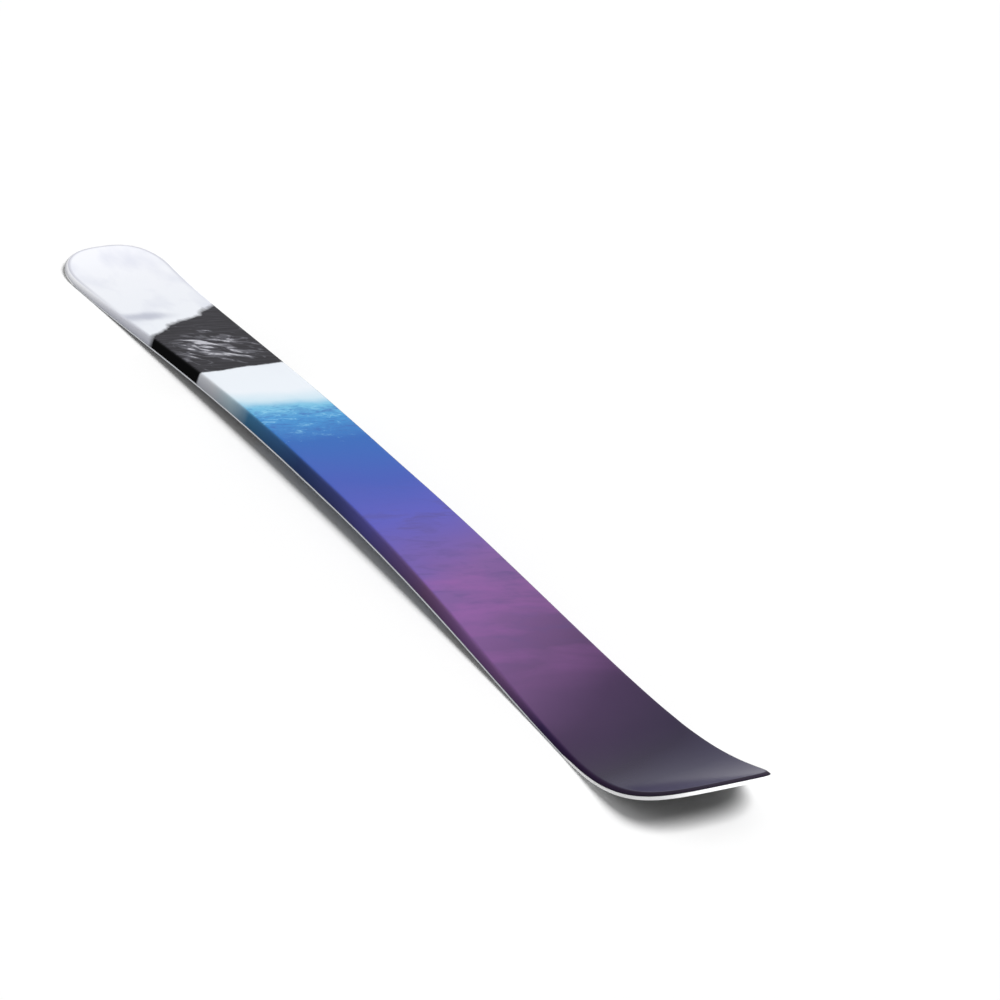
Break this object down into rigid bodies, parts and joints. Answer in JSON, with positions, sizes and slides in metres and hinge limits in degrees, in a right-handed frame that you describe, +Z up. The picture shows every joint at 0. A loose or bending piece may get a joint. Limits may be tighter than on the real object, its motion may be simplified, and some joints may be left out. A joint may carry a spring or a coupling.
{
  "type": "backcountry ski",
  "caption": "Short, wide backcountry ski with a cap, metal edges, white plastic ends, a turned-up tip and a climbing skin set into the base under the boot.",
  "frame": {"origin": "middle of the ski's bounding box, on the plane that its running surface rests on", "axes": "+X from tail to tip, +Y to the left, +Z up out of the topsheet"},
  "size_m": [1.6, 0.1264, 0.0544],
  "materials": {
    "topsheet": "printed polyamide film, satin gloss, from white at the tail over blue to dark plum at the tip",
    "upper_laminate": "carbon and glass fibre in epoxy",
    "binding_mat": "bare rolled alloy plate",
    "core_light": "planed poplar strip",
    "core_dark": "planed ash strip",
    "glass_laminate": "glass fibre in epoxy",
    "rubber": "matte black foil",
    "steel": "hardened carbon steel, ground",
    "spacer": "white ABS, sanded edge",
    "base": "sintered black polyethylene, stone ground and waxed",
    "skin_backing": "woven carrier",
    "skin_pile": "blue-grey mohair and nylon pile, laid towards the tail"
  },
  "bodies": {
    "root": {"topsheet": "topsheet", "upper_laminate": "upper_laminate", "binding_mat": "binding_mat", "core_stringer_1": "core_light", "core_stringer_2": "core_dark", "core_stringer_3": "core_light", "core_stringer_4": "core_dark", "core_stringer_5": "core_light", "core_stringer_6": "core_dark", "core_stringer_7": "core_light", "lower_laminate": "glass_laminate", "base_laminate": "glass_laminate", "edge_foil_left": "rubber", "edge_foil_right": "rubber", "steel_edge_left": "steel", "steel_edge_right": "steel", "tip_spacer": "spacer", "tail_spacer": "spacer", "base_front": "base", "base_rear": "base", "skin_backing": "skin_backing", "skin_pile": "skin_pile"}
  },
  "joints": []
}
